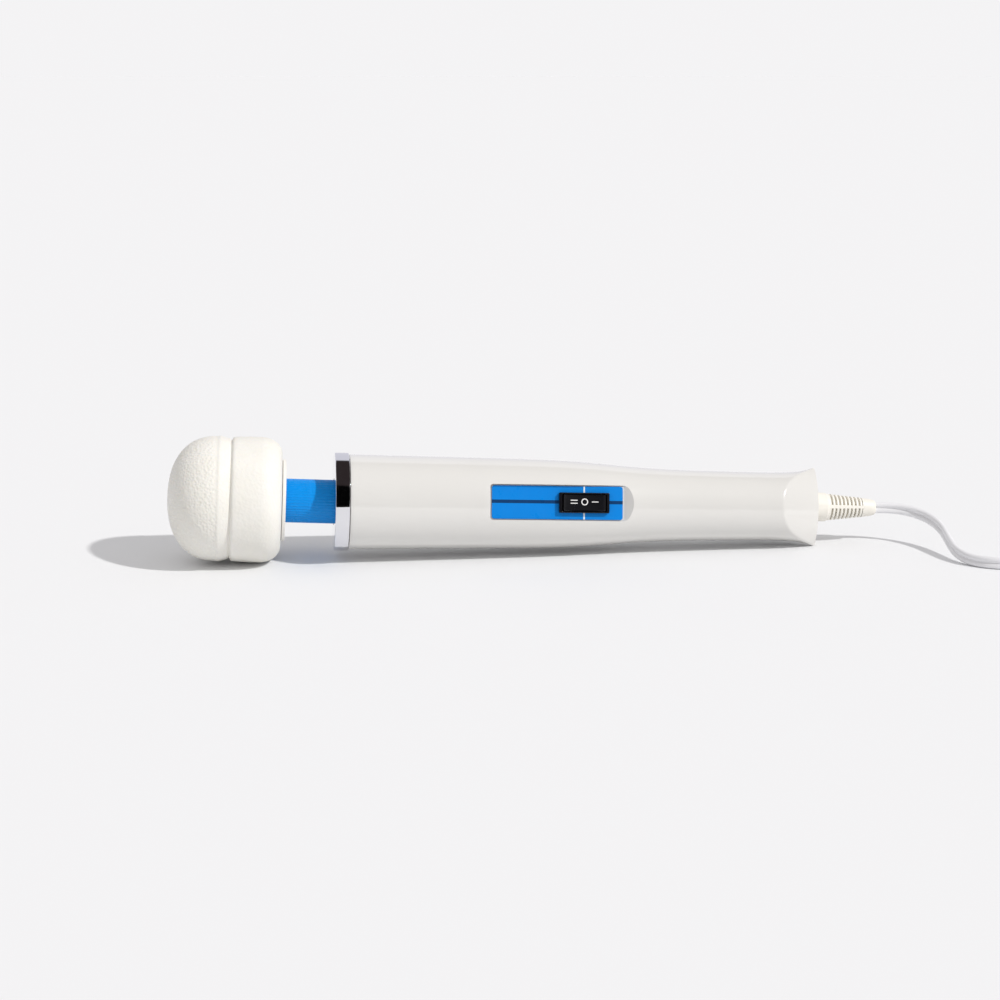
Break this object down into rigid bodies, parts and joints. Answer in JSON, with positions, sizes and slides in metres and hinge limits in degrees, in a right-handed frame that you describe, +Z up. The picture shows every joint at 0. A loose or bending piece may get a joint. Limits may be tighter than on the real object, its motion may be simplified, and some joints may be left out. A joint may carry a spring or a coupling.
{
  "type": "handheld wand massager",
  "caption": "Corded wand massager: soft round vibrating head on a flexible ribbed neck, tapered handle with a side rocker switch and a coiled mains lead.",
  "frame": {"origin": "on the surface the wand lies on, under the middle of its length and width, the spare lead left out", "axes": "+X along the wand from the head towards the lead, +Z up, -Y towards the side with the switch"},
  "size_m": [0.5264, 0.1004, 0.0595],
  "materials": {
    "soft_cap": "matte, fine pebble grain",
    "core_plastic": "moulded",
    "steel": "turned",
    "brass": "plain",
    "nylon": "moulded",
    "blue_sleeve": "glossy, fine ribs",
    "shell": "glossy",
    "chrome": "polished",
    "label": "satin print",
    "black_plastic": "glossy",
    "lamination": "stacked sheets",
    "copper": "enamelled wire",
    "carbon": "pressed carbon",
    "wire_black": "insulation",
    "wire_white": "insulation",
    "wire_red": "insulation",
    "relief": "soft, satin",
    "cord": "soft, slightly glossy",
    "tie": "matte"
  },
  "bodies": {
    "handle": {"shell_screw_1": "steel", "shell_screw_2": "steel", "shell_screw_3": "steel", "shell_screw_4": "steel", "motor_bearing_front": "steel", "motor_bearing_rear": "steel", "switch_terminal_1": "brass", "switch_terminal_2": "brass", "switch_terminal_3": "brass", "brush_holder_left": "brass", "brush_holder_right": "brass", "plug_blade_1": "brass", "plug_blade_2": "brass", "neck_socket": "nylon", "motor_front_bracket": "nylon", "motor_rear_bracket": "nylon", "lead_clamp": "nylon", "front_shell": "shell", "rear_shell": "shell", "chrome_ring": "chrome", "label_plate": "label", "switch_body": "black_plastic", "speed_diode": "black_plastic", "motor_field_core": "lamination", "field_coil_upper": "copper", "field_coil_lower": "copper", "carbon_brush_left": "carbon", "carbon_brush_right": "carbon", "wire_line": "wire_black", "wire_neutral": "wire_white", "wire_high": "wire_red", "strain_relief": "relief", "lead_end": "cord", "lead_run": "cord", "lead_tail": "cord", "lead_coil": "cord", "plug_body": "cord", "coil_tie": "tie"},
    "neck_link": {"neck_sleeve": "blue_sleeve", "neck_spring": "steel"},
    "head": {"head_cap": "soft_cap", "head_core_front": "core_plastic", "head_core_rear": "core_plastic", "core_screw_1": "steel", "core_screw_2": "steel", "core_screw_3": "steel", "head_bearing_front": "steel", "head_bearing_rear": "steel", "neck_hub": "core_plastic"},
    "eccentric": {"head_shaft": "steel", "eccentric_weight": "brass", "head_coupling": "nylon"},
    "rotor": {"motor_shaft": "steel", "armature_core": "lamination", "armature_winding_front": "copper", "armature_winding_rear": "copper", "commutator": "copper", "motor_coupling": "nylon", "flexible_drive_shaft": "steel"},
    "rocker": {"switch_rocker": "black_plastic"}
  },
  "joints": [
    {"name": "neck_pitch", "type": "hinge", "parent": "handle", "child": "neck_link", "pos_m": [-0.09877, 0, 0.02789], "axis": [0, 1, 0], "range_deg": [-12, 12], "stiffness_Nm_per_rad": 5, "deforming": ["neck_spring", "flexible_drive_shaft"]},
    {"name": "neck_yaw", "type": "hinge", "parent": "neck_link", "child": "head", "pos_m": [-0.11015, 0, 0.02854], "axis": [0.057, 0, 0.9984], "range_deg": [-12, 12], "stiffness_Nm_per_rad": 5, "deforming": ["neck_spring", "flexible_drive_shaft"]},
    {"name": "switch_rocker", "type": "hinge", "parent": "handle", "child": "rocker", "pos_m": [0.02348, -0.01545, 0.02719], "axis": [0.0383, 0.2588, 0.9652], "range_deg": [-8, 8]},
    {"name": "motor_spin", "type": "hinge", "parent": "handle", "child": "rotor", "pos_m": [-0.04052, 0, 0.02558], "axis": [0.9992, 0, -0.0396], "continuous": true},
    {"name": "weight_spin", "type": "hinge", "parent": "head", "child": "eccentric", "pos_m": [-0.1429, 0, 0.03041], "axis": [0.9984, 0, -0.057], "continuous": true}
  ],
  "couplings": [
    {"joint": "weight_spin", "follows": "motor_spin", "ratio": 1}
  ]
}
